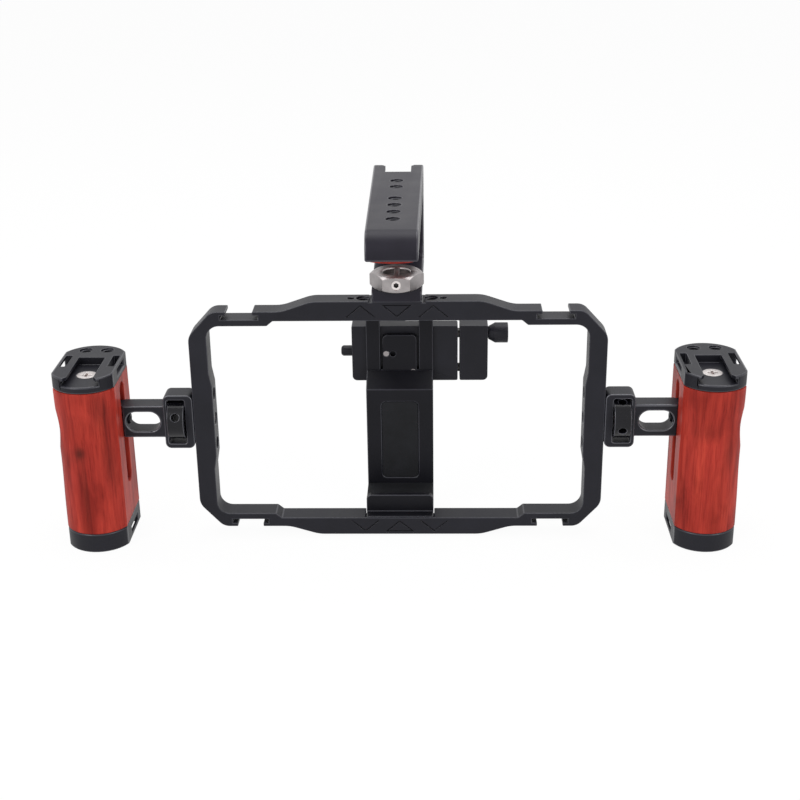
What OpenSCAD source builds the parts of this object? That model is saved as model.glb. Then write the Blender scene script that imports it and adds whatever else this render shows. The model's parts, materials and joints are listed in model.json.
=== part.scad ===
// Phone cage: a milled ring frame with a phone clamp, a C-shaped top handle and two wooden side grips.
// Millimetres, +Z up. The grips stand on Z = 0, Y = 0 is the frame's front face, +Y points away from
// the user.

/* [Frame] */
// Width of the ring over its two side bars
frame_w = 206.4; // [190:0.2:230]
// Height of the ring at its middle
frame_h = 127; // [118:0.5:145]
// Depth of the ring from its front face to its back face
frame_d = 11.5; // [10.5:0.1:14]
// Thickness of the two side bars
side_bar_t = 9.1; // [6:0.1:11]
// Thickness of the top and bottom bars at the cold shoes
bar_t = 7.4; // [6.8:0.1:10]
// Width of the raised middles of the top and bottom bars
crown_w = 84; // [72:0.5:96]
// How far the middle of the top bar rises over its shoulders
crown_rise = 5.1; // [3:0.1:7]
// How far the middle of the bottom bar drops below its shoulders
keel_drop = 4.6; // [3:0.1:7]
// Length of the slopes beside the raised middles
slope_run = 15; // [8:0.5:20]
// How much the inner faces of the two bars are relieved in the middle
bar_relief = 2.5; // [1:0.1:3.5]
// Width of that relief
relief_w = 122; // [112:1:130]
// Width of the outer corner chamfers
corner_w = 11.7; // [6:0.1:14]
// Height of the outer corner chamfers
corner_h = 12.8; // [6:0.1:16]
// How far from a corner of the outline its round starts
soft_run = 3; // [1:0.1:3.5]
// Fillet radius inside the four corners
inner_r = 6.5; // [3:0.1:10]
// How far the side bars thicken inwards at the thread holes
boss_t = 1.2; // [0.5:0.1:3]
// Length of that thicker stretch
boss_l = 38; // [32:0.5:46]
// Height of the ring's underside over the ground
ground_gap = 0.5; // [0.3:0.1:3]
// Depth of the engraved lines
groove_depth = 0.4; // [0.2:0.05:0.8]

/* [Cold shoes] */
// Width of the slot under the lips
shoe_w = 18.7; // [18.6:0.05:19]
// Height of the slot under the lips
shoe_h = 2.2; // [2:0.05:2.4]
// Width of the opening between the lips
shoe_open = 13.2; // [12.5:0.1:14]
// Thickness of the lips
shoe_lip = 1.9; // [1.5:0.1:2.4]
// Distance of the ring's shoes from its sides
shoe_inset = 25.7; // [24:0.1:31]

/* [Threads and fits] */
// Radius of the quarter-inch thread holes
quarter_r = 3.2; // [3:0.05:3.3]
// Radius of the locating holes in the top bar
locating_r = 1.65; // [1.5:0.05:2]
// Spacing of the thread holes in the side bars
side_hole_pitch = 13.5; // [10:0.5:15]
// Room between the hand wheel's rim and the top bar's thread holes beside it
top_hole_gap = 0.1; // [0:0.1:2]
// Spacing of a locating hole and its thread hole in the top bar
locating_pitch = 6; // [5.5:0.1:9]
// Radial clearance of a shaft in its hole
fit_gap = 0.07; // [0.03:0.01:0.1]
// Clearance of a flat slide on each side
slide_gap = 0.15; // [0.1:0.05:0.3]
// Clearance between neighbouring faces that pass each other
pass_gap = 0.3; // [0.2:0.05:0.5]

/* [Phone clamp] */
// Width of the clamp
clamp_w = 34.8; // [30:0.2:40]
// Distance of the lower lip's front from the ring's back face
lip_set = 4; // [3.2:0.1:5]
// Thickness of the lower lip
lip_t = 3; // [2:0.1:4]
// Height of the lower lip over the bottom bar
lip_h = 9.4; // [8:0.1:12]
// Room for the phone between the lower lip and the plate
jaw_room = 16.5; // [14:0.5:20]
// Height of the lower jaw's floor over the bottom bar
floor_h = 5.8; // [4:0.1:7]
// Height of the plate's front over the floor
plate_h = 54.6; // [48:0.2:58]
// Thickness of the clamp's body behind the plate's front
body_t = 10; // [8:0.1:12]
// How much the body's sloped top rises to the back
body_rise = 7.5; // [4:0.1:9]
// Thickness of the rubber on the jaws
pad_t = 1.5; // [1:0.1:2.5]
// Width of the rubber inset in the plate
inset_w = 19; // [14:0.2:24]
// Height of the rubber inset in the plate
inset_h = 43.4; // [36:0.2:46]
// Depth of the rubber inset's pocket
inset_d = 1; // [0.6:0.1:2]
// Depth of the pocket in the bottom bar that takes the foot
pocket_depth = 3; // [2:0.1:3.5]
// Thickness of the bar in front of that pocket
pocket_wall = 1.2; // [0.8:0.1:2]

/* [Upper jaw] */
// Width of each of the two rails
rail_w = 7.3; // [6:0.1:8]
// Thickness of the rails
rail_t = 2.7; // [2:0.1:3.5]
// Length of the rails
rail_l = 74; // [66:0.5:78]
// Depth of the rails' top ends below the top of the ring
jaw_drop = 9.5; // [8.5:0.1:12]
// Thickness of the jaw's roof
roof_t = 2.8; // [2:0.1:3.5]
// How much the roof rises towards its lip
roof_rise = 3; // [1:0.1:4]
// Depth of the hooked lip
hook_h = 7; // [5:0.1:8]
// Thickness of the hooked lip
hook_t = 2.5; // [2:0.1:3]
// Gap between the hooked lip and the ring's back face
hook_gap = 2; // [1:0.1:3]

/* [Quick-release clamp] */
// Width of the fixed half
block_w = 55.3; // [50:0.1:60]
// Height of both halves
block_h = 30.3; // [27:0.1:34]
// Depth of both halves
block_d = 13; // [12:0.1:16]
// Distance of the fixed half's left end from the middle
block_left = 25; // [22:0.1:28]
// Height of both halves' underside over the plate's front top edge
block_lift = 0.2; // [0:0.1:2]
// Width of the moving jaw
moving_w = 14.7; // [12:0.1:18]
// Gap between the two halves at rest
jaw_gap = 1; // [0.6:0.1:2]
// Depth of the dovetail groove
dovetail_d = 4.5; // [3.5:0.1:5]
// Width of the wall left of the dovetail groove
dovetail_wall = 23.5; // [20:0.1:26]
// Radius of the clamp's screw
clamp_screw_r = 2.5; // [2:0.1:3]
// Radius of the guide pin
guide_r = 2.25; // [1.5:0.05:2.6]
// Radius of the knob
knob_r = 5.3; // [4.5:0.1:7]
// Length of the knob behind its neck
knob_l = 6.7; // [5:0.1:10]
// Length of the knob's conical neck
neck_l = 3.6; // [2:0.1:5]
// Radius of the stop pin
stop_r = 2.8; // [2:0.1:3]
// How far the stop pin stands out
stop_out = 6; // [5:0.1:8]
// Wire thickness of the stop pin's spring
spring_wire = 0.6; // [0.4:0.05:0.7]

/* [Top handle] */
// Length of the grip
handle_l = 136; // [120:1:150]
// Width of the handle at its far end
handle_w = 25.6; // [24:0.1:30]
// Width of the handle at its nose
nose_w = 23.2; // [22:0.1:28]
// Height of the grip's top over the top of the ring
handle_h = 52.2; // [48:0.2:64]
// Thickness of the grip
grip_t = 12; // [10:0.1:14]
// Thickness of the leg
leg_t = 9; // [7:0.1:12]
// Thickness of the base
base_t = 6; // [5:0.1:7]
// Radius of the rounded nose
nose_r = 10; // [6:0.1:11]
// Width of the wooden liner
liner_w = 20; // [16:0.1:21]
// Depth of the wooden liner below the grip
liner_t = 2.8; // [1.8:0.1:4]
// Spacing of the thread holes along the grip
handle_pitch = 12.5; // [10:0.1:13]
// Length of the cold shoe at the far end
handle_shoe_l = 20.7; // [18:0.1:22]

/* [Hand wheel] */
// Radius of the six-sided steel hand wheel over its corners
wheel_r = 13.3; // [11:0.1:14]
// Height of the hand wheel
wheel_h = 7.6; // [6.4:0.1:9]
// Radius of the stem in it and of the round pit above the stem
stem_r = 6.6; // [5:0.1:7]
// Depth of the pit
pit_d = 3.2; // [2:0.1:4]
// Thickness of the tang that crosses the pit
tang_w = 2.4; // [1.5:0.1:3]
// Radius of the bar holes round the hand wheel
bar_hole_r = 2.35; // [1.5:0.05:2.6]

/* [Side arms] */
// Height of the arms' screws over the ground
axis_z = 64; // [58:0.5:68]
// Length of the arm between grip and head
arm_l = 20.9; // [18:0.1:28]
// Height of the arm
arm_h = 17.2; // [15:0.1:20]
// Depth of the arm
arm_d = 10.4; // [9.5:0.1:10.5]
// Length of the window in the arm
arm_win_l = 17; // [12:0.1:17.5]
// Height of the window in the arm
arm_win_h = 10.4; // [8:0.1:11]
// Length of the arm's head
head_l = 15; // [14.5:0.1:18]
// Height of the arm's head
head_h = 28.8; // [27.5:0.1:34]
// Width of the head's window
head_win_w = 9; // [8.7:0.1:10]
// Wall of the head next to the ring
head_wall = 4.1; // [3:0.1:4.3]
// Radius of the thumb wheel
thumb_r = 10.5; // [9:0.1:11.5]
// Width of the thumb wheel
thumb_w = 8.4; // [7:0.1:8.4]

/* [Side grips] */
// Width of the grip between its flats
grip_w = 30.5; // [28:0.1:33]
// Depth of the grip from front to back
grip_d = 50; // [42:0.2:54]
// Radius of the grip's round front and back
grip_end_r = 17.1; // [16.6:0.1:19]
// Height of the whole grip
grip_h = 94.5; // [90:0.5:110]
// Height of the top cap
top_cap_h = 7.6; // [7:0.1:9]
// Height of the bottom cap
bottom_cap_h = 10.3; // [9:0.1:13]
// Depth of the finger hollow in the wood
hollow_d = 1.2; // [0.4:0.1:2]
// Radius of the finger hollow
hollow_r = 45; // [30:1:80]
// Width of the long slot in the wood
slot_w = 8.4; // [7:0.1:10]
// Height of the long slot's lower end
slot_z0 = 29; // [22:0.5:34]
// Height of the long slot's upper end
slot_z1 = 83.7; // [80:0.1:86]
// Thickness of the wood in front of the slide nut
slot_wall = 6; // [4:0.1:7]
// Width of the slide nut
nut_w = 13.4; // [11:0.1:15]
// Thickness of the slide nut
nut_t = 4; // [3:0.1:4.5]
// Radius of the tie bolt
tie_r = 2.5; // [2:0.1:3]
// Width of the strap slots in the caps
strap_w = 3.4; // [2:0.1:3.4]
// Length of the strap slots in the caps
strap_l = 15.5; // [10:0.5:18]

/* [Hidden] */
$fn = 64;
// Overshoot of cuts
over = 1;

// Heights of the ring
half_w = frame_w / 2;
shoe_x = half_w - shoe_inset;
top_z = ground_gap + frame_h;
shoulder_z = top_z - crown_rise;
sole_z = ground_gap + keel_drop;
win_z1 = shoulder_z - bar_t;
win_z0 = sole_z + bar_t;
win_w = frame_w - 2 * side_bar_t;
relief_run = 3;
bar_under_z = win_z1 + bar_relief;
bar_top_z = win_z0 - bar_relief;
boss_run = 7;
mid_y = frame_d / 2;
line_w = 0.6;
tri_w = 15;
tri_h = 6.4;
tri_pitch = 17.8;
foot_groove_w = 1.5;
foot_groove_d = 0.8;

// Places of the phone clamp, front to back
pocket_z = bar_top_z - pocket_depth;
pocket_gap = 0.4;
lip_y = frame_d - lip_set;
plate_y = lip_y + lip_t + jaw_room;
body_y = plate_y + body_t;
floor_z = bar_top_z + floor_h;
plate_z = floor_z + plate_h;
body_z = plate_z + body_rise;
lip_r = 2.5;
pad_gap = 1.5;
inset_rise = 4.5;
inset_z = floor_z + inset_rise;
inset_r = 2.5;
pad_slack = 0.1;
spine_t = rail_t + 2 * slide_gap;
spine_low_w = clamp_w - 2 * rail_w - 4 * slide_gap;
spine_high_w = spine_low_w - 2;
spine_z0 = bar_top_z + 14;
spine_rise = 26.5;
spine_z1 = plate_z + spine_rise;
spine_r = 2.5;
cover_t = 2;
cover_z1 = plate_z - 2.5;
cover_y = body_y + spine_t;
foot_screw_x = 11;
foot_screw_r = 1.95;
foot_head_r = 3.6;
foot_skin = 0.8;
small_screw_r = 1.5;
small_head_r = 2.8;
small_head_h = 1.4;
socket_d = 1.2;
socket_share = 0.85;
cover_screw_x = 5.5;
cover_screw_dz = 14;
cover_screw_in = 4.5;
screw_room = 0.5;
tripod_depth = pocket_z - ground_gap - 0.6;

// Places of the upper jaw
rail_x = clamp_w / 2 - rail_w;
rail_y = body_y + slide_gap;
rail_z1 = top_z - jaw_drop;
hook_y = frame_d + hook_gap;
roof_z0 = rail_z1 - roof_t;
roof_y1 = body_y - 0.2;
roof_slope = roof_rise / (rail_y + rail_t - hook_y);
jaw_pad_t = 1.2;

// Places of the quick-release clamp
block_y = cover_y;
block_z = plate_z + block_lift;
block_x = -block_left;
moving_x = block_x + block_w + jaw_gap;
screw_y = block_y + 4.4;
screw_z = block_z + block_h - 5.3;
guide_z = block_z + 5.8;
screw_reach = 26;
guide_in = 12;
groove_floor_y = block_y + block_d - dovetail_d;
jaw_land = 0.5;
jaw_travel = 6;
knob_gap = 0.2;
stop_y = block_y + 6.5;
stop_z = block_z + 14.5;
stop_in = 7;
stop_hole_l = 14;
stop_end_r = 1.6;
stop_spring_l = stop_hole_l - stop_in;
spring_turns = 4;
spring_sides = 6;
spring_steps = 8;
block_screw_x = 7;
block_screw_rise = 16;
block_screw_drop = 10;
block_screw_z = block_z + block_screw_rise;
block_r = 2.5;
edge_r = 0.8;
block_screw_l = 8;

// Places of the top handle; the thread holes beside its foot stay clear of the hand wheel
top_hole_x = wheel_r + quarter_r + top_hole_gap;
locating_x = top_hole_x + locating_pitch;
handle_z1 = top_z + handle_h;
handle_z0 = handle_z1 - grip_t;
base_z = top_z + base_t;
tail_y = handle_l / 2;
leg_y = tail_y - leg_t;
leg_r = 6;
tail_r = 3;
liner_in = 1.5;
liner_y0 = -handle_l / 2 + 6;
liner_y1 = leg_y - 7;
liner_bow = 0.8;
liner_bow_r = (pow(liner_w / 2, 2) + pow(liner_bow, 2)) / (2 * liner_bow);
liner_screw_inset = 14;
handle_holes = [for (i = [0:3]) -41 + i * handle_pitch, for (i = [0:1]) 19 + i * handle_pitch];
wheel_hole_count = 3;
wheel_turn = 180;
wheel_face_r = wheel_r * cos(30) - 0.2;
wheel_rim = 0.5;
wheel_drop = (wheel_r + wheel_rim - wheel_face_r) * tan(30);
tang_drop = 0.3;
stud_r = quarter_r - fit_gap;
stud_depth = 8.5;

// Places of the left arm and grip; the right ones are mirrored
head_x1 = -half_w - 0.2;
head_x0 = head_x1 - head_l;
head_r = 3;
head_win_h = 2 * thumb_r + 2.6;
thumb_x1 = head_x1 - head_wall - (head_win_w - thumb_w) / 2;
thumb_x0 = thumb_x1 - thumb_w;
thumb_end_x = -half_w + side_bar_t + boss_t - 0.7;
thumb_seat = 1.2;
thumb_holes = 4;
thumb_hole_r = 2;
left_turn = 67;
right_turn = 22;
arm_x0 = head_x0 - arm_l;
face_x = arm_x0 - pass_gap;
grip_x = face_x - grip_w / 2;
tongue_x = face_x - slot_wall - slide_gap;
tongue_w = slot_w - 2 * slide_gap;
arm_win_wall = 1.7;
slide_seat_x = arm_x0 + 0.8;
slide_screw_r = 1.9;
slide_head_r = 2.5;
slide_head_h = 2.2;
nut_h = arm_h + 1;
wood_z0 = bottom_cap_h;
wood_z1 = grip_h - top_cap_h;
hollow_z = wood_z0 + 0.72 * (wood_z1 - wood_z0);
tie_y = mid_y - 7;
tie_head_r = 5;
tie_head_h = 2.6;
tie_gap = 0.2;
cross_l = 5;
cross_w = 1.2;
cross_d = 2;
tie_end_z = 3;
cap_shoe_back = 6.8;
cap_shoe_y = mid_y + cap_shoe_back;
mouth_w = 4;
mouth_l = 5.8;
cap_floor_z = grip_h - shoe_lip - shoe_h;
cap_hole_x = 5.5;
cap_hole_inset = 7.6;
cap_hole_y = mid_y + grip_d / 2 - cap_hole_inset;
strap_wall = 1.5;
strap_x = grip_w / 2 - strap_w / 2 - strap_wall;
strap_y = mid_y + 2;
strap_d = 5.2;
strap_bridge = 1.6;

// Colours
black_alu = "#2e3034";
dark_alu = "#3c3d42";
rubber = "#232428";
steel = "#b9b6b2";
wood = "#a63a22";

// Shapes that repeat

// A drawing in X and Z, pulled along Y
module along_y(y0, d) {
    translate([0, y0 + d, 0]) rotate([90, 0, 0]) linear_extrude(height = d) children();
}

// A drawing in Y and Z, pulled along X
module along_x(x0, d) {
    translate([x0, 0, 0]) rotate([90, 0, 90]) linear_extrude(height = d) children();
}

module rod_x(x0, l, r, r2) {
    translate([x0, 0, 0]) rotate([0, 90, 0]) cylinder(h = l, r1 = r, r2 = is_undef(r2) ? r : r2);
}

module rod_y(y0, l, r, r2) {
    translate([0, y0, 0]) rotate([-90, 0, 0]) cylinder(h = l, r1 = r, r2 = is_undef(r2) ? r : r2);
}

// A rectangle with round corners about its own centre
module round_rect(size, r) {
    square([size[0] - 2 * r, size[1]], center = true);
    square([size[0], size[1] - 2 * r], center = true);
    for (x = [-1, 1], y = [-1, 1])
        translate([x * (size[0] / 2 - r), y * (size[1] / 2 - r)]) circle(r);
}

// A rectangle from the origin whose two upper corners are round
module round_top(w, h, r) {
    translate([-w / 2, 0]) square([w, h - r]);
    translate([-w / 2 + r, 0]) square([w - 2 * r, h]);
    for (x = [-1, 1]) translate([x * (w / 2 - r), h - r]) circle(r);
}

// A rectangle from the origin whose four corners have their own radii, from the lower left round
module corner_box(size, r) {
    at = [[r[0], r[0]], [size[0] - r[1], r[1]], [size[0] - r[2], size[1] - r[2]], [r[3], size[1] - r[3]]];
    cut = [[0, 0], [size[0] - r[1], 0], [size[0] - r[2], size[1] - r[2]], [0, size[1] - r[3]]];
    difference() {
        square(size);
        for (i = [0:3]) translate(cut[i]) square(r[i]);
    }
    for (i = [0:3]) translate(at[i]) circle(r[i]);
}

// A drawing on both sides of the middle
module both_sides() {
    children();
    mirror([1, 0, 0]) children();
}

// The side pieces are drawn for the left; the right ones are their mirror image
module on_side(side) {
    if (side == "left") children();
    else mirror([1, 0, 0]) children();
}

// The T-slot of a cold shoe below Z = 0, along +Y; with a mouth its lips flare towards Y = 0
module shoe_cut(l, mouth = false) {
    translate([-shoe_open / 2, 0, -shoe_lip - shoe_h]) cube([shoe_open, l, shoe_lip + shoe_h + over]);
    translate([-shoe_w / 2, 0, -shoe_lip - shoe_h]) cube([shoe_w, l, shoe_h]);
    if (mouth) translate([0, 0, -shoe_lip - over]) linear_extrude(height = shoe_lip + 2 * over)
        polygon([[-shoe_open / 2 - mouth_w, 0], [-shoe_open / 2, mouth_l], [shoe_open / 2, mouth_l],
            [shoe_open / 2 + mouth_w, 0]]);
}

// A countersunk screw along +Z from its head's flat at Z = 0
module flat_screw(r, head_r, head_h, l) {
    difference() {
        union() {
            cylinder(h = head_h, r1 = head_r, r2 = r);
            cylinder(h = l, r = r);
        }
        translate([0, 0, -over]) cylinder(h = socket_d + over, r = socket_share * r, $fn = 6);
    }
}

// Frame

// What a round takes off or fills in at the corner p between a and b, starting t away from the corner
module corner_waste(a, p, b, t) {
    u = (a - p) / norm(a - p);
    v = (b - p) / norm(b - p);
    half = acos(u * v) / 2;
    way = (u + v) / norm(u + v);
    mid = p + way * t / cos(half);
    difference() {
        polygon([p - way * over, p + u * t, mid, p + v * t]);
        translate(mid) circle(t * tan(half));
    }
}

module ring_outline() {
    half = [[crown_w / 2, top_z], [crown_w / 2 + slope_run, shoulder_z], [half_w - corner_w, shoulder_z],
        [half_w, shoulder_z - corner_h], [half_w, sole_z + corner_h], [half_w - corner_w, sole_z],
        [crown_w / 2 + slope_run, sole_z], [crown_w / 2, ground_gap]];
    ring = concat(half, [for (i = [len(half) - 1:-1:0]) [-half[i][0], half[i][1]]]);
    n = len(ring);
    hollow = [for (i = [0:n - 1])
        cross(ring[i] - ring[(i + n - 1) % n], ring[(i + 1) % n] - ring[i]) > 0];
    difference() {
        polygon(ring);
        for (i = [0:n - 1]) if (!hollow[i])
            corner_waste(ring[(i + n - 1) % n], ring[i], ring[(i + 1) % n], soft_run);
    }
    for (i = [0:n - 1]) if (hollow[i])
        corner_waste(ring[(i + n - 1) % n], ring[i], ring[(i + 1) % n], soft_run);
}

// The relief of a bar's inner face; way is 1 for the top bar and -1 for the bottom bar
module bar_relief_cut(z, way) {
    polygon([[-relief_w / 2 - relief_run, z - way * over], [-relief_w / 2 - relief_run, z],
        [-relief_w / 2, z + way * bar_relief], [relief_w / 2, z + way * bar_relief],
        [relief_w / 2 + relief_run, z], [relief_w / 2 + relief_run, z - way * over]]);
}

module side_boss() {
    flat = boss_l / 2;
    both_sides() translate([win_w / 2, axis_z]) polygon([[over, -flat - boss_run], [0, -flat - boss_run],
        [-boss_t, -flat], [-boss_t, flat], [0, flat + boss_run], [over, flat + boss_run]]);
}

module ring_window() {
    difference() {
        union() {
            translate([0, (win_z0 + win_z1) / 2]) round_rect([win_w, win_z1 - win_z0], inner_r);
            bar_relief_cut(win_z1, 1);
            bar_relief_cut(win_z0, -1);
        }
        side_boss();
    }
}

// An engraved triangle about its own centre, tip up for way = 1; an open one has no base line
module triangle_line(way, open) {
    inner = 1 - 2.4 * line_w / tri_h;
    slant = line_w * norm([tri_w / 2, tri_h]) / (tri_w / 2);
    outline = [[-tri_w / 2, -way * tri_h / 2], [0, way * tri_h / 2], [tri_w / 2, -way * tri_h / 2]];
    difference() {
        polygon(outline);
        if (open) translate([0, -way * slant]) polygon(outline);
        else translate([0, -way * tri_h / 2 + way * line_w]) scale(inner)
            polygon([[-tri_w / 2, 0], [0, way * tri_h], [tri_w / 2, 0]]);
    }
}

module engraving() {
    along_y(-over, over + groove_depth) {
        for (i = [-1:1]) {
            translate([i * tri_pitch, (bar_under_z + top_z) / 2]) triangle_line(i == 0 ? -1 : 1, i != 0);
            translate([i * tri_pitch, (ground_gap + bar_top_z) / 2]) triangle_line(i == 0 ? 1 : -1, i != 0);
        }
    }
}

module clamp_pocket() {
    translate([-clamp_w / 2 - pocket_gap, pocket_wall, pocket_z])
        cube([clamp_w + 2 * pocket_gap, frame_d - pocket_wall + over, pocket_depth + over]);
}

module top_bar_holes() {
    translate([0, mid_y, bar_under_z - over]) {
        cylinder(h = frame_h, r = quarter_r);
        for (x = [-1, 1]) {
            translate([x * top_hole_x, 0, 0]) cylinder(h = frame_h, r = quarter_r);
            translate([x * locating_x, 0, 0]) cylinder(h = frame_h, r = locating_r);
        }
    }
}

module bottom_bar_holes() {
    translate([0, mid_y, ground_gap - over]) cylinder(h = tripod_depth + over, r = quarter_r);
    for (x = [-1, 1]) translate([x * foot_screw_x, mid_y, ground_gap]) {
        translate([0, 0, -over]) cylinder(h = frame_h / 4, r = foot_screw_r);
        cylinder(h = small_head_h + 1, r1 = foot_head_r, r2 = foot_screw_r);
    }
}

module cage_frame() {
    handle_w_foot = nose_w + (handle_w - nose_w) / 2;
    color(black_alu) difference() {
        along_y(0, frame_d) difference() {
            ring_outline();
            ring_window();
        }
        for (x = [-shoe_x, shoe_x]) {
            translate([x, -over, shoulder_z]) shoe_cut(frame_d + 2 * over);
            translate([x, -over, sole_z]) mirror([0, 0, 1]) shoe_cut(frame_d + 2 * over);
        }
        for (i = [-1:1]) translate([0, mid_y, axis_z + i * side_hole_pitch])
            both_sides()
                rod_x(half_w - side_bar_t - boss_t - over, side_bar_t + boss_t + 2 * over, quarter_r);
        for (x = [-1, 1]) translate([x * (handle_w_foot + foot_groove_w) / 2, mid_y, top_z])
            cube([foot_groove_w, frame_d + 2 * over, 2 * foot_groove_d], center = true);
        top_bar_holes();
        bottom_bar_holes();
        clamp_pocket();
        engraving();
    }
}

// Phone clamp

module clamp_body() {
    color(black_alu) difference() {
        union() {
            along_x(-clamp_w / 2, clamp_w) polygon([[pocket_wall + pocket_gap, pocket_z],
                [pocket_wall + pocket_gap, bar_top_z], [lip_y, bar_top_z], [lip_y, floor_z],
                [plate_y, floor_z], [plate_y, plate_z], [body_y, body_z], [body_y, pocket_z]]);
            translate([0, 0, pocket_z]) along_y(lip_y, lip_t)
                round_top(clamp_w, pocket_depth + lip_h, lip_r);
        }
        translate([0, 0, inset_z + inset_h / 2]) along_y(plate_y - over, inset_d + over)
            round_rect([inset_w, inset_h], inset_r);
        for (x = [-1, 1]) translate([x * foot_screw_x, mid_y, pocket_z - over])
            cylinder(h = pocket_depth - foot_skin + over, r = foot_screw_r);
        cover_screw_places()
            rod_y(body_y - cover_screw_in - screw_room, cover_screw_in + screw_room + over, small_screw_r);
    }
}

module back_pad() {
    color(rubber) translate([0, 0, inset_z + inset_h / 2]) along_y(plate_y + pad_slack, inset_d - pad_slack)
        round_rect([inset_w - 2 * pad_slack, inset_h - 2 * pad_slack], inset_r - pad_slack);
}

module lower_jaw_pad() {
    color(rubber) translate([-clamp_w / 2 + pad_slack, lip_y + lip_t + pad_gap, floor_z])
        cube([clamp_w - 2 * pad_slack, jaw_room - pad_gap - pad_slack, pad_t]);
}

module foot_screws() {
    color(steel) for (x = [-1, 1]) translate([x * foot_screw_x, mid_y, ground_gap])
        flat_screw(foot_screw_r, foot_head_r, small_head_h + 1,
            bar_top_z - ground_gap - foot_skin - screw_room);
}

module cover_screw_places() {
    for (x = [-1, 1], z = [-1, 1])
        translate([x * cover_screw_x, 0, (spine_z0 + cover_z1) / 2 + z * cover_screw_dz]) children();
}

// The guide strip between the rails, wide behind the body and narrow above it
module clamp_spine() {
    color(dark_alu) difference() {
        union() {
            along_y(body_y, spine_t) translate([-spine_low_w / 2, spine_z0])
                square([spine_low_w, body_z - spine_z0]);
            translate([0, 0, spine_z0]) along_y(body_y, spine_t)
                round_top(spine_high_w, spine_z1 - spine_z0, spine_r);
        }
        cover_screw_places() rod_y(body_y - over, spine_t + 2 * over, small_screw_r);
        block_screw_places() rod_y(body_y - over, spine_t + 2 * over, small_screw_r);
        translate([-block_screw_x / 2, 0, block_screw_z])
            rod_y(body_y - over, spine_t + 2 * over, small_screw_r);
    }
}

module rail_cover() {
    color(dark_alu) difference() {
        translate([-clamp_w / 2, cover_y, spine_z0]) cube([clamp_w, cover_t, cover_z1 - spine_z0]);
        cover_screw_places() {
            rod_y(cover_y - over, cover_t + 2 * over, small_screw_r);
            rod_y(cover_y + cover_t - small_head_h, small_head_h, small_screw_r, small_head_r);
        }
    }
}

module cover_screws() {
    color(steel) cover_screw_places() difference() {
        union() {
            rod_y(cover_y + cover_t - small_head_h, small_head_h, small_screw_r, small_head_r);
            rod_y(body_y - cover_screw_in, cover_screw_in + spine_t + cover_t, small_screw_r);
        }
        rod_y(cover_y + cover_t - socket_d, socket_d + over, socket_share * small_screw_r, $fn = 6);
    }
}

module block_screw_places() {
    translate([-block_screw_x, 0, block_screw_z]) children();
    translate([block_screw_x, 0, block_screw_z - block_screw_drop]) children();
}

module block_screws() {
    color(steel) block_screw_places() rod_y(body_y + 0.1, spine_t - 0.1 + block_screw_l, small_screw_r);
}

// Upper jaw

module jaw_roof_outline(y1) {
    function under(y) = roof_z0 + roof_slope * (rail_y + rail_t - y);
    polygon([[y1, under(y1)], [hook_y + hook_t, under(hook_y + hook_t)],
        [hook_y + hook_t, under(hook_y) + roof_t - hook_h], [hook_y, under(hook_y) + roof_t - hook_h],
        [hook_y, under(hook_y) + roof_t], [y1, under(y1) + roof_t]]);
}

module upper_jaw() {
    color(dark_alu) {
        along_x(-clamp_w / 2, clamp_w) jaw_roof_outline(roof_y1);
        both_sides() {
            along_x(rail_x, rail_w) jaw_roof_outline(rail_y + rail_t);
            translate([rail_x, rail_y, rail_z1 - rail_l]) cube([rail_w, rail_t, rail_l]);
        }
    }
}

module upper_jaw_pad() {
    pad_y0 = hook_y + hook_t + pad_slack;
    function under(y) = roof_z0 + roof_slope * (rail_y + rail_t - y);
    color(rubber) along_x(-clamp_w / 2 + pad_slack, clamp_w - 2 * pad_slack)
        polygon([[pad_y0, under(pad_y0)], [roof_y1, under(roof_y1)], [roof_y1, under(roof_y1) - jaw_pad_t],
            [pad_y0, under(pad_y0) - jaw_pad_t]]);
}

// Quick-release clamp

// One half of the clamp with the radii of its two lower corners
module block_half(x, w, left_r, right_r) {
    along_y(block_y, block_d) translate([x, block_z])
        corner_box([w, block_h], [left_r, right_r, edge_r, edge_r]);
}

module release_block() {
    root_x = block_x + dovetail_wall;
    far_y = block_y + block_d + over;
    color(black_alu) difference() {
        block_half(block_x, block_w, block_r, edge_r);
        translate([0, 0, block_z - over]) linear_extrude(height = block_h + 2 * over)
            polygon([[root_x, groove_floor_y], [root_x + dovetail_d + over, far_y],
                [moving_x, far_y], [moving_x, groove_floor_y]]);
        translate([0, screw_y, screw_z])
            rod_x(moving_x - jaw_gap - screw_reach - 2, screw_reach + 2 + over, clamp_screw_r + fit_gap);
        translate([0, screw_y, guide_z]) rod_x(moving_x - jaw_gap - guide_in, guide_in + over, guide_r);
        translate([0, stop_y, stop_z]) rod_x(block_x - over, stop_hole_l + over, stop_r + fit_gap);
        block_screw_places() rod_y(block_y - over, block_screw_l + over, small_screw_r);
    }
}

module guide_pin() {
    color(steel) translate([0, screw_y, guide_z])
        rod_x(moving_x - jaw_gap - guide_in, guide_in + jaw_gap + moving_w - 3, guide_r);
}

module moving_jaw() {
    undercut = dovetail_d - jaw_land;
    color(black_alu) difference() {
        block_half(moving_x, moving_w, edge_r, block_r);
        translate([0, 0, block_z - over]) linear_extrude(height = block_h + 2 * over)
            polygon([[moving_x - over, groove_floor_y], [moving_x + undercut, groove_floor_y],
                [moving_x - over, groove_floor_y + undercut + over]]);
        translate([0, screw_y, screw_z]) rod_x(moving_x - over, moving_w + 2 * over, clamp_screw_r + fit_gap);
        translate([0, screw_y, guide_z]) rod_x(moving_x - over, moving_w - 2 + over, guide_r + fit_gap);
    }
}

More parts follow.
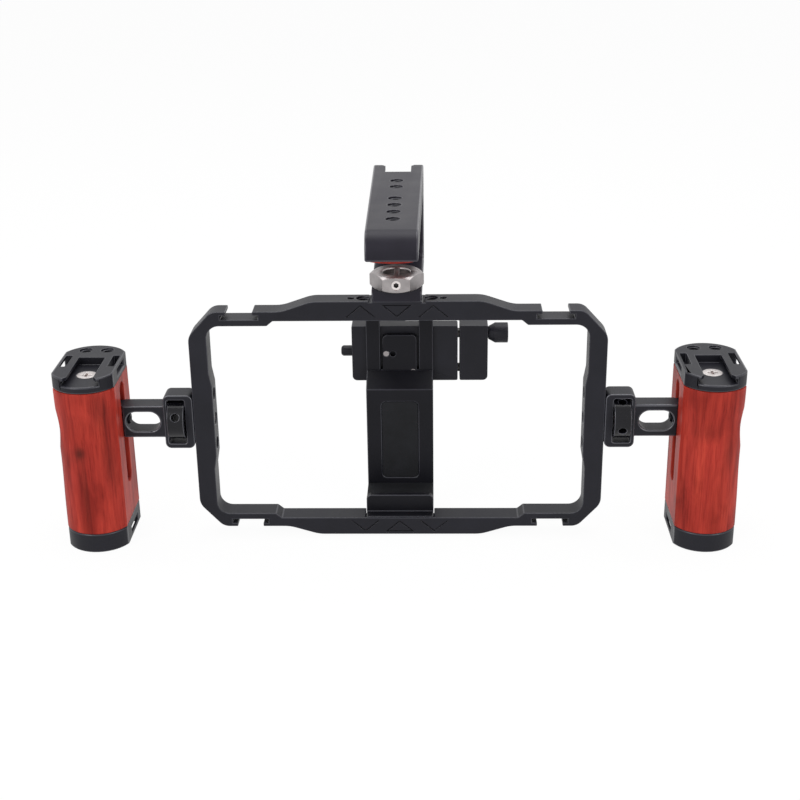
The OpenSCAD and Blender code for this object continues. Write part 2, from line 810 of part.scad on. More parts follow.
module clamp_knob() {
    x0 = moving_x + moving_w + knob_gap;
    color(dark_alu) translate([0, screw_y, screw_z]) difference() {
        union() {
            rod_x(x0, neck_l, clamp_screw_r + 0.8, knob_r);
            rod_x(x0 + neck_l, knob_l, knob_r);
        }
        rod_x(x0 - over, neck_l + knob_l - 2 + over, clamp_screw_r);
    }
}

module clamp_screw() {
    x0 = moving_x - jaw_gap - screw_reach;
    color(steel) translate([0, screw_y, screw_z])
        rod_x(x0, screw_reach + jaw_gap + moving_w + knob_gap + neck_l + knob_l - 2, clamp_screw_r);
}

module stop_pin() {
    color(dark_alu) translate([0, stop_y, stop_z]) {
        rotate([0, 90, 0]) rotate_extrude() translate([0, block_x - stop_out]) intersection() {
            translate([stop_r - stop_end_r, stop_end_r]) circle(stop_end_r);
            square(stop_end_r + stop_r);
        }
        rod_x(block_x - stop_out, stop_end_r, stop_r - stop_end_r);
        rod_x(block_x - stop_out + stop_end_r, stop_out + stop_in - stop_end_r, stop_r);
    }
}

// The plunger's spring: one tube along a helix, its ends ground flat by its own round caps
module stop_spring() {
    radius = stop_r - spring_wire / 2 - 0.3;
    length = stop_spring_l - spring_wire - 0.1;
    rings = spring_turns * spring_steps;
    function at(i) = let (a = 360 * i / spring_steps) [length * i / rings, radius * cos(a), radius * sin(a)];
    function ring_point(i, j) = let (a = 360 * i / spring_steps, b = 360 * j / spring_sides)
        at(i) + spring_wire / 2 * [sin(b), cos(b) * cos(a), cos(b) * sin(a)];
    points = [for (i = [0:rings], j = [0:spring_sides - 1]) ring_point(i, j)];
    side = [for (i = [0:rings - 1], j = [0:spring_sides - 1])
        let (k = (j + 1) % spring_sides, a = i * spring_sides + j, b = i * spring_sides + k,
            c = a + spring_sides, d = b + spring_sides) each [[a, c, b], [b, c, d]]];
    first = [for (j = [1:spring_sides - 2]) [0, j, j + 1]];
    end = rings * spring_sides;
    last = [for (j = [1:spring_sides - 2]) [end, end + j + 1, end + j]];
    color(steel) translate([block_x + stop_in + spring_wire / 2 + 0.05, stop_y, stop_z])
        polyhedron(points = points, faces = concat(side, first, last));
}

// Top handle

module handle_profile() {
    difference() {
        translate([-handle_l / 2, top_z]) corner_box([handle_l, handle_h], [1, leg_r, tail_r, nose_r]);
        translate([-handle_l / 2 - leg_r, base_z])
            corner_box([leg_y + handle_l / 2 + leg_r, handle_z0 - base_z], [1, leg_r, leg_r, 1]);
        translate([-handle_l / 2 - over, top_z - over])
            square([handle_l / 2 + over, handle_z0 - top_z + over]);
    }
}

// The handle from above: a slight taper towards the nose
module handle_plan() {
    y0 = -handle_l / 2;
    x0 = nose_w / 2;
    polygon([[-x0, y0], [x0, y0], [handle_w / 2, tail_y], [-handle_w / 2, tail_y]]);
}

module top_handle() {
    color(dark_alu) difference() {
        intersection() {
            along_x(-handle_w, 2 * handle_w) handle_profile();
            translate([0, 0, top_z - over]) linear_extrude(height = handle_h + 2 * over) handle_plan();
        }
        for (y = handle_holes) translate([0, y, handle_z0]) cylinder(h = grip_t + over, r = quarter_r);
        translate([0, tail_y + over, handle_z1]) mirror([0, 1, 0]) shoe_cut(handle_shoe_l + over, true);
        translate([0, mid_y, top_z - over]) cylinder(h = base_t + 2 * over, r = quarter_r);
        translate([-liner_w / 2, liner_y0, handle_z0 - over])
            cube([liner_w, liner_y1 - liner_y0, liner_in + over]);
        liner_screw_places() cylinder(h = liner_in + 6, r = small_screw_r);
    }
}

module liner_screw_places() {
    for (y = [liner_y0 + liner_screw_inset, liner_y1 - liner_screw_inset])
        translate([0, y, handle_z0 - liner_t]) children();
}

module handle_wood() {
    shoulder = liner_t - liner_bow;
    color(wood) difference() {
        along_y(liner_y0, liner_y1 - liner_y0) {
            translate([-liner_w / 2, handle_z0 - shoulder]) square([liner_w, shoulder + liner_in]);
            intersection() {
                translate([0, handle_z0 - liner_t + liner_bow_r]) circle(liner_bow_r, $fn = 128);
                translate([-liner_w / 2, handle_z0 - liner_t - over]) square([liner_w, liner_bow + over]);
            }
        }
        liner_screw_places() {
            translate([0, 0, -over]) cylinder(h = liner_t + liner_in + 2 * over, r = small_screw_r);
            cylinder(h = small_head_h, r1 = small_head_r, r2 = small_screw_r);
        }
    }
}

module liner_screws() {
    color(steel) liner_screw_places()
        flat_screw(small_screw_r, small_head_r, small_head_h, liner_t + liner_in + 3);
}

// A turned cone takes the corners off both faces of the six-sided bar
module hand_wheel() {
    color(steel) translate([0, mid_y, base_z]) difference() {
        intersection() {
            cylinder(h = wheel_h, r = wheel_r, $fn = 6);
            rotate_extrude() polygon([[0, 0], [wheel_face_r, 0], [wheel_r + wheel_rim, wheel_drop],
                [wheel_r + wheel_rim, wheel_h - wheel_drop], [wheel_face_r, wheel_h], [0, wheel_h]]);
        }
        translate([0, 0, -over]) cylinder(h = wheel_h + 2 * over, r = stem_r);
        translate([0, 0, wheel_h - wheel_rim])
            cylinder(h = wheel_rim + over, r1 = stem_r, r2 = stem_r + wheel_rim + over);
        for (i = [0:wheel_hole_count - 1]) rotate([0, 0, wheel_turn + i * 360 / wheel_hole_count])
            translate([0, 0, wheel_h / 2]) rod_y(stem_r + 1.2, wheel_r, bar_hole_r);
    }
}

module hand_wheel_screw() {
    color(steel) translate([0, mid_y, base_z]) {
        cylinder(h = wheel_h - pit_d, r = stem_r);
        translate([0, 0, -base_t - stud_depth]) cylinder(h = base_t + stud_depth + 1, r = stud_r);
        intersection() {
            cylinder(h = wheel_h - tang_drop, r = stem_r);
            translate([-tang_w / 2, -stem_r, 0]) cube([tang_w, 2 * stem_r, wheel_h]);
        }
    }
}

// Side arms

module arm_body() {
    color(black_alu) difference() {
        union() {
            translate([arm_x0, mid_y - arm_d / 2, axis_z - arm_h / 2]) cube([arm_l + 1, arm_d, arm_h]);
            translate([(head_x0 + head_x1) / 2, 0, axis_z]) along_y(0, frame_d)
                round_rect([head_l, head_h], head_r);
            translate([tongue_x, mid_y - tongue_w / 2, axis_z - arm_h / 2])
                cube([arm_x0 - tongue_x + 1, tongue_w, arm_h]);
        }
        translate([arm_x0 + arm_win_wall + arm_win_l / 2, 0, axis_z]) along_y(-over, frame_d + 2 * over)
            round_rect([arm_win_l, arm_win_h], arm_win_h / 2 - 0.01);
        translate([head_x1 - head_wall - head_win_w / 2, 0, axis_z]) along_y(-over, frame_d + 2 * over)
            round_rect([head_win_w, head_win_h], 1);
        translate([0, mid_y, axis_z]) {
            rod_x(head_x1 - head_wall - head_win_w - thumb_seat, head_l, quarter_r);
            rod_x(head_x1 - head_wall - 1, head_wall + 1 + over, quarter_r);
            rod_x(tongue_x - over, arm_x0 - tongue_x + arm_win_wall + 2 * over, slide_screw_r);
            rod_x(slide_seat_x, arm_win_wall + over, slide_head_r + 0.1);
        }
    }
}

module slide_nut() {
    color(steel) difference() {
        translate([tongue_x - nut_t, mid_y - nut_w / 2, axis_z - nut_h / 2]) cube([nut_t, nut_w, nut_h]);
        translate([0, mid_y, axis_z]) rod_x(tongue_x - nut_t - over, nut_t + 2 * over, slide_screw_r);
    }
}

module slide_screw() {
    color(steel) translate([0, mid_y, axis_z]) difference() {
        union() {
            rod_x(tongue_x - nut_t, slide_seat_x - tongue_x + nut_t, slide_screw_r);
            rod_x(slide_seat_x, slide_head_h, slide_head_r);
        }
        translate([slide_seat_x + slide_head_h - 1.4, 0, 0]) rotate([0, 90, 0])
            cylinder(h = 1.4 + over, r = 1.4, $fn = 6);
    }
}

module thumb_wheel(turn) {
    color(dark_alu) translate([0, mid_y, axis_z]) difference() {
        rod_x(thumb_x0, thumb_w, thumb_r);
        rod_x(thumb_x0 - over, thumb_w + 2 * over, quarter_r - fit_gap);
        for (i = [0:thumb_holes - 1]) rotate([turn + i * 360 / thumb_holes, 0, 0])
            translate([(thumb_x0 + thumb_x1) / 2, 0, 0]) rod_y(quarter_r + 1, thumb_r, thumb_hole_r);
    }
}

module thumb_screw() {
    x0 = head_x1 - head_wall - head_win_w - thumb_seat + 0.2;
    color(steel) translate([0, mid_y, axis_z]) rod_x(x0, thumb_end_x - x0, quarter_r - fit_gap);
}

// Side grips

// The grip from above: round front and back, flat sides
module grip_plan() {
    y = grip_d / 2 - grip_end_r;
    translate([grip_x, mid_y]) intersection() {
        union() {
            for (way = [-1, 1]) translate([0, way * y]) circle(grip_end_r, $fn = 128);
            square([2 * grip_end_r, 2 * y], center = true);
        }
        square([grip_w, grip_d + 2 * over], center = true);
    }
}

// The slot in the wood's inner face and the wider way behind it for the nut
module slide_way() {
    way_w = nut_w + 4 * slide_gap;
    way_t = nut_t + 3 * slide_gap;
    along_x(face_x - slot_wall - over, slot_wall + 2 * over) translate([mid_y, (slot_z0 + slot_z1) / 2])
        round_rect([slot_w, slot_z1 - slot_z0], slot_w / 2 - 0.01);
    translate([face_x - slot_wall - way_t, mid_y - way_w / 2, slot_z0]) cube([way_t, way_w, grip_h]);
}

module wood_grip() {
    color(wood) difference() {
        translate([0, 0, wood_z0]) linear_extrude(height = wood_z1 - wood_z0) grip_plan();
        slide_way();
        translate([grip_x, tie_y, wood_z0 - over]) cylinder(h = grip_h, r = tie_r + tie_gap);
        translate([grip_x - grip_w / 2 + hollow_d - hollow_r, 0, hollow_z])
            rod_y(mid_y - grip_d, 2 * grip_d, hollow_r, $fn = 128);
    }
}

// Strap slots below Z = 0, each with a window in the side wall
module strap_slots() {
    for (x = [-1, 1]) translate([grip_x + x * strap_x, strap_y, 0]) {
        translate([-strap_w / 2, -strap_l / 2, -strap_d]) cube([strap_w, strap_l, strap_d + over]);
        translate([x > 0 ? 0 : -grip_w, -strap_l / 2, -strap_d])
            cube([grip_w, strap_l, strap_d - strap_bridge]);
    }
}

module top_cap() {
    color(black_alu) difference() {
        translate([0, 0, wood_z1]) linear_extrude(height = top_cap_h) grip_plan();
        translate([grip_x, mid_y - grip_d / 2 - over, grip_h])
            shoe_cut(cap_shoe_y - mid_y + grip_d / 2 + over, true);
        for (x = [-1, 1]) translate([grip_x + x * cap_hole_x, cap_hole_y, wood_z1 - over])
            cylinder(h = top_cap_h + 2 * over, r = quarter_r);
        translate([0, 0, grip_h]) strap_slots();
        translate([grip_x, tie_y, wood_z1 - over]) cylinder(h = top_cap_h, r = tie_r);
        translate([grip_x, tie_y, cap_floor_z - tie_head_h])
            cylinder(h = tie_head_h, r1 = tie_r, r2 = tie_head_r);
    }
}

module bottom_cap() {
    color(black_alu) difference() {
        linear_extrude(height = bottom_cap_h) grip_plan();
        mirror([0, 0, 1]) strap_slots();
        translate([grip_x, tie_y, tie_end_z - 0.5]) cylinder(h = bottom_cap_h, r = tie_r);
    }
}

module tie_bolt() {
    color(steel) translate([grip_x, tie_y, 0]) difference() {
        union() {
            translate([0, 0, tie_end_z]) cylinder(h = cap_floor_z - tie_end_z - 0.1, r = tie_r);
            translate([0, 0, cap_floor_z - tie_head_h]) cylinder(h = tie_head_h, r1 = tie_r, r2 = tie_head_r);
        }
        for (a = [0, 90]) translate([0, 0, cap_floor_z]) rotate([0, 0, a])
            cube([cross_l, cross_w, 2 * cross_d], center = true);
    }
}

// The pieces of the two sides

module left_arm() {
    on_side("left") arm_body();
}

module left_slide_nut() {
    on_side("left") slide_nut();
}

module left_slide_screw() {
    on_side("left") slide_screw();
}

module left_thumb_wheel() {
    on_side("left") thumb_wheel(left_turn);
}

module left_thumb_screw() {
    on_side("left") thumb_screw();
}

module left_wood_grip() {
    on_side("left") wood_grip();
}

module left_top_cap() {
    on_side("left") top_cap();
}

module left_bottom_cap() {
    on_side("left") bottom_cap();
}

module left_tie_bolt() {
    on_side("left") tie_bolt();
}

module right_arm() {
    on_side("right") arm_body();
}

module right_slide_nut() {
    on_side("right") slide_nut();
}

module right_slide_screw() {
    on_side("right") slide_screw();
}

module right_thumb_wheel() {
    on_side("right") thumb_wheel(right_turn);
}

module right_thumb_screw() {
    on_side("right") thumb_screw();
}

module right_wood_grip() {
    on_side("right") wood_grip();
}

module right_top_cap() {
    on_side("right") top_cap();
}

module right_bottom_cap() {
    on_side("right") bottom_cap();
}

module right_tie_bolt() {
    on_side("right") tie_bolt();
}

cage_frame();
clamp_body();
back_pad();
lower_jaw_pad();
foot_screws();
clamp_spine();
rail_cover();
cover_screws();
block_screws();
release_block();
guide_pin();
top_handle();
handle_wood();
liner_screws();
upper_jaw();
upper_jaw_pad();
moving_jaw();
clamp_knob();
clamp_screw();
stop_pin();
stop_spring();
hand_wheel();
hand_wheel_screw();
left_arm();
left_slide_nut();
left_slide_screw();
left_thumb_wheel();
left_thumb_screw();
left_wood_grip();
left_top_cap();
left_bottom_cap();
left_tie_bolt();
right_arm();
right_slide_nut();
right_slide_screw();
right_thumb_wheel();
right_thumb_screw();
right_wood_grip();
right_top_cap();
right_bottom_cap();
right_tie_bolt();
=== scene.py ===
# %% [markdown]
# # A phone cage with wooden grips
# The cage is a milled ring that holds a phone, with a handle on top and a wooden grip on each side.
# The solids already have their true sizes and joints. This script gives them rounded edges, finishes,
# tapped threads and other small details, and the light of a plain studio.

# %% Load the solids
import json
import math

import bmesh
import bpy
from mathutils import Matrix, Vector


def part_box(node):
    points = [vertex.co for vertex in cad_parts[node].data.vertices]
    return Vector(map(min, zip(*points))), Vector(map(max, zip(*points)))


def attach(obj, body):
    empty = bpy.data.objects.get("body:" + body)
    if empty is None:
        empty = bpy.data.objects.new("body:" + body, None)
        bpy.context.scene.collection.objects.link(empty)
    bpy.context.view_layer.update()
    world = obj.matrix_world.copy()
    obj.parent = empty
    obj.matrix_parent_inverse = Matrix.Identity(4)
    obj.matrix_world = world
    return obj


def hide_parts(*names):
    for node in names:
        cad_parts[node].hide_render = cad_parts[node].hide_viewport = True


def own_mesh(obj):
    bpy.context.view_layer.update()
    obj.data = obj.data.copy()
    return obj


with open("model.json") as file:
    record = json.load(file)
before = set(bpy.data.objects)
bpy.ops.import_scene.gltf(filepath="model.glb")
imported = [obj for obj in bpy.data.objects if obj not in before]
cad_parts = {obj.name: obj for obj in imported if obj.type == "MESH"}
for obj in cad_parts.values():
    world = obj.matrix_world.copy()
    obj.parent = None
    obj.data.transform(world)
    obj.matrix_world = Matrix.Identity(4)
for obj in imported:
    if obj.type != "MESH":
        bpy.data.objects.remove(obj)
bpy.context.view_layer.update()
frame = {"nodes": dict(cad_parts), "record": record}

MM = 0.001
bodies = frame["record"]["behaviour"]["bodies"]
body_of_node = {node: body for body, nodes in bodies.items() for node in nodes}


# %% [markdown]
# ## Places to work from
# Details such as threads sit on the solids, so their places are read from the solids' own boxes and
# not typed in again. A box is two corners; in millimetres they are easier to think about.

# %% Places of the solids
def box_mm(node):
    """The lowest and the highest corner of a solid, in millimetres."""
    return [Vector(corner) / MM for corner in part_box(node)]


ring_low, ring_high = box_mm("cage_frame")
handle_low, handle_high = box_mm("top_handle")
wheel_low, wheel_high = box_mm("hand_wheel")
wheel_rim = (wheel_high.x - wheel_low.x) / 2
MID_Y = (ring_low.y + ring_high.y) / 2
QUARTER_R = 3.2
grip_x = {side: sum(corner.x for corner in box_mm(side + "_wood_grip")) / 2 for side in ("left", "right")}
wood_low, wood_high = box_mm("left_wood_grip")
cap_low, cap_high = box_mm("left_top_cap")
print("ring's middle plane: Y =", round(MID_Y, 2), "mm, grips at X =",
      {side: round(x, 2) for side, x in grip_x.items()})

# %% [markdown]
# ## The camera
# The picture was taken from a little above, with a long lens. Its place, turn and lens were worked out
# from points on the ring, the handle and the clamp, so that the same points land on the same pixels.
# The lens in millimetres follows from the focal length in pixels and the width of the picture.

# %% Camera
PICTURE = 800
FOCAL_PIXELS = 1400
camera = bpy.data.objects.new("camera", bpy.data.cameras.new("camera"))
bpy.context.collection.objects.link(camera)
camera.data.sensor_width = 36
camera.data.lens = 36 * FOCAL_PIXELS / PICTURE
camera.location = Vector((19.475, -646.608, 340.88)) * MM
camera.rotation_euler = [math.radians(a) for a in (67.715, 0.742, 1.337)]
camera.data.clip_start = 0.01
bpy.context.scene.camera = camera
print("lens:", camera.data.lens, "mm")


# %% [markdown]
# ## Colours and nodes
# Colours are written as hex values, as a paint chart gives them. Blender's shaders work in linear light,
# so one function turns them. A second one adds a shader node with its settings and its links, which
# keeps the recipe of a finish to one line a node.

# %% Helpers for finishes
def linear(hex_value):
    values = [int(hex_value[i:i + 2], 16) / 255 for i in (1, 3, 5)]
    return [v / 12.92 if v <= 0.04045 else ((v + 0.055) / 1.055) ** 2.4 for v in values] + [1.0]


def add(material, kind, settings=None, links=None):
    """Adds a node, sets its sockets, properties or ramp stops, and links its inputs to outputs."""
    tree = material.node_tree
    node = tree.nodes.new(kind)
    for name, value in (settings or {}).items():
        if name == "stops":
            elements = node.color_ramp.elements
            while len(elements) < len(value):
                elements.new(1.0)
            for element, (position, colour) in zip(elements, value):
                element.position = position
                element.color = linear(colour)
        elif isinstance(name, int) or name in node.inputs:
            node.inputs[name].default_value = value
        else:
            setattr(node, name, value)
    for name, (source, output) in (links or {}).items():
        tree.links.new(source.outputs[output], node.inputs[name])
    return node


def new_material(name):
    material = bpy.data.materials.new(name)
    material.use_nodes = True
    material.node_tree.nodes.clear()
    return material


def per_mm(size_mm):
    """The scale at which a noise has blots of this size."""
    return 1 / (size_mm * MM)


# A wave repeats each pi / 10 of its scaled coordinate
WAVE = math.pi / 10
print("helpers ready")


# %% [markdown]
# ## Black anodised aluminium
# The ring, the clamp, the arms and the caps are milled aluminium, blasted with fine beads and then
# anodised black. The dye sits in a clear oxide, so the metal is nearly black from the front and greys
# where it is seen at a low angle. The beads leave a fine even grain, and handling leaves faint cloudy
# smears in the gloss. One noise gives the grain to the bump, a larger one the clouds to colour and
# roughness. The clamp is given a darker black, and the top handle came out slightly purple. Where a
# cutter or a thumb has broken an edge the oxide is thinner, so edges get a smoother finish of their own;
# their paler colour is partly that wear and partly a painted highlight. The thumb wheels, which are
# pushed most, are polished before the dye.

# %% Anodised finishes
def anodised(name, dark, light, rough, gleam, dents):
    material = new_material(name)
    place = add(material, "ShaderNodeTexCoord")
    # The real grain is about 0.1 mm, too fine to show here, so it is drawn at 0.5 mm
    grain = add(material, "ShaderNodeTexNoise", {"Scale": per_mm(0.5), "Detail": 3.0, "Roughness": 0.6},
                {"Vector": (place, "Object")})
    cloud = add(material, "ShaderNodeTexNoise", {"Scale": per_mm(22), "Detail": 4.0, "Roughness": 0.55},
                {"Vector": (place, "Object")})
    colour = add(material, "ShaderNodeValToRGB", {"stops": [(0.3, dark), (0.72, light)]},
                 {"Fac": (cloud, "Fac")})
    gloss = add(material, "ShaderNodeMapRange", {"From Min": 0.3, "From Max": 0.7, "To Min": rough - 0.04,
                                                 "To Max": rough + 0.05}, {"Value": (cloud, "Fac")})
    bump = add(material, "ShaderNodeBump", {"Strength": dents, "Distance": 0.05 * MM},
               {"Height": (grain, "Fac")})
    shader = add(material, "ShaderNodeBsdfPrincipled", {"Metallic": 0.1, "Specular IOR Level": gleam},
                 {"Base Color": (colour, "Color"), "Roughness": (gloss, "Result"),
                  "Normal": (bump, "Normal")})
    add(material, "ShaderNodeOutputMaterial", {}, {"Surface": (shader, "BSDF")})
    return material


black_anodised = anodised("black_anodised_aluminium", "#16161c", "#1c1c23", 0.44, 0.22, 0.35)
# The clamp's pieces are given a darker black than the ring and the arms
deep_anodised = anodised("deep_black_anodised_aluminium", "#0d0d12", "#121218", 0.46, 0.18, 0.35)
grey_anodised = anodised("purple_grey_anodised_aluminium", "#19171f", "#201e27", 0.42, 0.2, 0.3)
gloss_black = anodised("polished_black_anodised_aluminium", "#0b0b0f", "#111116", 0.2, 0.28, 0.12)
# The edge finishes are paler than the faces: partly thinner, worn oxide, partly a painted highlight
black_edge_wear_and_highlight = anodised("worn_black_anodised_edge_and_painted_highlight", "#25252c", "#2f2f37", 0.28, 0.45, 0.1)
gloss_edge_wear_and_highlight = anodised("worn_polished_black_edge_and_painted_highlight", "#34343b", "#42424a", 0.18, 0.8, 0.05)
grey_edge_wear_and_highlight = anodised("worn_grey_anodised_edge_and_painted_highlight", "#2b2931", "#35333c", 0.28, 0.45, 0.1)
black_ink = anodised("black_engraving_ink", "#08080b", "#0c0c10", 0.7, 0.1, 0.2)
print("anodised finishes:", black_anodised.name, deep_anodised.name, grey_anodised.name)


# %% [markdown]
# ## Turned steel
# The hand wheel and the bright screws are steel, turned on a lathe to a satin shine. Turning leaves
# very fine rings: round the wall they lie one above the other, on a flat face they lie one inside the
# other. Both sets go into the bump, so highlights stretch across the rings as they do on a real wheel.
# The rings need the axis of the piece, so each turned piece has its own copy of the finish.

# %% Steel
def turned_steel(name, axis_x, axis_y, dark, light, rough):
    material = new_material(name)
    place = add(material, "ShaderNodeTexCoord")
    centred = add(material, "ShaderNodeMapping", {"Location": (-axis_x * MM, -axis_y * MM, 0)},
                  {"Vector": (place, "Object")})
    # Lathe rings are about 0.1 mm apart; 0.4 mm is the finest that still shows
    lathe = {"Scale": WAVE * per_mm(0.4), "Distortion": 0.6, "Detail": 2.0}
    on_walls = add(material, "ShaderNodeTexWave", {"wave_type": "BANDS", "bands_direction": "Z", **lathe},
                   {"Vector": (centred, "Vector")})
    on_faces = add(material, "ShaderNodeTexWave", {"wave_type": "RINGS", "rings_direction": "Z", **lathe},
                   {"Vector": (centred, "Vector")})
    rings = add(material, "ShaderNodeMath", {"operation": "ADD"},
                {0: (on_walls, "Fac"), 1: (on_faces, "Fac")})
    haze = add(material, "ShaderNodeTexNoise", {"Scale": per_mm(5), "Detail": 5.0},
               {"Vector": (place, "Object")})
    colour = add(material, "ShaderNodeValToRGB", {"stops": [(0.3, dark), (0.7, light)]},
                 {"Fac": (haze, "Fac")})
    gloss = add(material, "ShaderNodeMapRange", {"From Min": 0.3, "From Max": 0.7, "To Min": rough - 0.05,
                                                 "To Max": rough + 0.06}, {"Value": (haze, "Fac")})
    bump = add(material, "ShaderNodeBump", {"Strength": 0.35, "Distance": 0.02 * MM},
               {"Height": (rings, "Value")})
    shader = add(material, "ShaderNodeBsdfPrincipled", {"Metallic": 1.0},
                 {"Base Color": (colour, "Color"), "Roughness": (gloss, "Result"),
                  "Normal": (bump, "Normal")})
    add(material, "ShaderNodeOutputMaterial", {}, {"Surface": (shader, "BSDF")})
    return material


TIE_Y = sum(corner.y for corner in box_mm("left_tie_bolt")) / 2
wheel_steel = turned_steel("polished_stainless_steel", 0, MID_Y, "#8f8a8a", "#a8a3a3", 0.36)
bolt_steel = {side: turned_steel(side + "_bolt_zinc_plated_steel", grip_x[side], TIE_Y,
                                 "#d2cbc9", "#e4dedc", 0.34)
              for side in ("left", "right")}
print("steel:", wheel_steel.name, [m.name for m in bolt_steel.values()])

# %% [markdown]
# ## Black-oxide steel
# Small fasteners inside the rig are blackened in a hot salt bath. The thin black layer still shows the
# steel's own shine, and it wears to grey in patches, which a coarse noise paints.

# %% Blackened fasteners
black_oxide = new_material("black_oxide_steel")
place = add(black_oxide, "ShaderNodeTexCoord")
patches = add(black_oxide, "ShaderNodeTexNoise", {"Scale": per_mm(1.5), "Detail": 5.0, "Roughness": 0.6},
              {"Vector": (place, "Object")})
colour = add(black_oxide, "ShaderNodeValToRGB", {"stops": [(0.4, "#2b2a2a"), (0.68, "#4a4948")]},
             {"Fac": (patches, "Fac")})
gloss = add(black_oxide, "ShaderNodeMapRange", {"To Min": 0.42, "To Max": 0.26}, {"Value": (patches, "Fac")})
bump = add(black_oxide, "ShaderNodeBump", {"Strength": 0.2, "Distance": 0.02 * MM},
           {"Height": (patches, "Fac")})
shader = add(black_oxide, "ShaderNodeBsdfPrincipled", {"Metallic": 0.9},
             {"Base Color": (colour, "Color"), "Roughness": (gloss, "Result"), "Normal": (bump, "Normal")})
add(black_oxide, "ShaderNodeOutputMaterial", {}, {"Surface": (shader, "BSDF")})
print("fasteners:", black_oxide.name)

# %% [markdown]
# ## Rubber
# The phone rests on thin pads of moulded nitrile rubber. Moulded rubber is matt, very dark grey, with a
# fine leathery grain from the mould, and it holds a little dust. Cells give the grain, a noise the dust.

# %% Rubber
pad_rubber = new_material("moulded_nitrile_rubber")
place = add(pad_rubber, "ShaderNodeTexCoord")
# Mould grain is about 0.4 mm wide, drawn here at twice that
cells = add(pad_rubber, "ShaderNodeTexVoronoi", {"Scale": per_mm(0.9)}, {"Vector": (place, "Object")})
dust = add(pad_rubber, "ShaderNodeTexNoise", {"Scale": per_mm(6), "Detail": 5.0},
           {"Vector": (place, "Object")})
colour = add(pad_rubber, "ShaderNodeValToRGB", {"stops": [(0.3, "#0d0e11"), (0.75, "#15161a")]},
             {"Fac": (dust, "Fac")})
bump = add(pad_rubber, "ShaderNodeBump", {"Strength": 0.35, "Distance": 0.06 * MM},
           {"Height": (cells, "Distance")})
shader = add(pad_rubber, "ShaderNodeBsdfPrincipled",
             {"Roughness": 0.7, "IOR": 1.52, "Specular IOR Level": 0.22},
             {"Base Color": (colour, "Color"), "Normal": (bump, "Normal")})
add(pad_rubber, "ShaderNodeOutputMaterial", {}, {"Surface": (shader, "BSDF")})
print("rubber:", pad_rubber.name)
